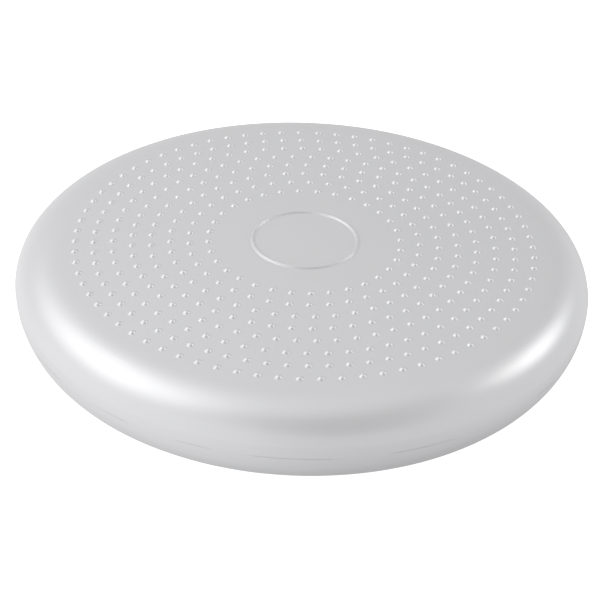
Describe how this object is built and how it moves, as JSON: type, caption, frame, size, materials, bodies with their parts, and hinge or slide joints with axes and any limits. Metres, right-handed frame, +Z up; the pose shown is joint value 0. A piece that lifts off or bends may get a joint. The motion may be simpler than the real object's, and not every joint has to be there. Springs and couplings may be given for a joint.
{
  "type": "wobble cushion",
  "caption": "Round air-filled balance cushion with a studded domed top, a rounded rim with a welded seam and a small valve at the rear.",
  "frame": {"origin": "middle of the underside, on the floor", "axes": "+Z up along the disc's axis, +Y to the rear where the valve is, +X to the right"},
  "size_m": [0.33, 0.33, 0.0573],
  "materials": {
    "skin": "satin silver-grey soft PVC with a fine leathery grain",
    "weld": "satin silver-grey soft PVC, slightly darker along the weld",
    "valve": "satin grey soft PVC",
    "core": "matt black rubber"
  },
  "bodies": {
    "base": {"lower_skin": "skin"},
    "rim": {"seam_weld": "weld", "valve_seat": "valve", "valve_core": "core"},
    "top": {"upper_skin": "skin"},
    "stopper": {"valve_stopper": "valve"}
  },
  "joints": [
    {"name": "wobble_front_rear", "type": "hinge", "parent": "base", "child": "rim", "pos_m": [0, 0, 0.0245], "axis": [1, 0, 0], "range_deg": [-4.5, 4.5], "stiffness_Nm_per_rad": 40, "deforming": ["lower_skin"]},
    {"name": "wobble_side_side", "type": "hinge", "parent": "rim", "child": "top", "pos_m": [0, 0, 0.0245], "axis": [0, 1, 0], "range_deg": [-4.5, 4.5], "stiffness_Nm_per_rad": 40, "deforming": ["upper_skin"]},
    {"name": "stopper_pull", "type": "slide", "parent": "rim", "child": "stopper", "axis": [0, 1, 0], "range_m": [0, 0.02]}
  ]
}
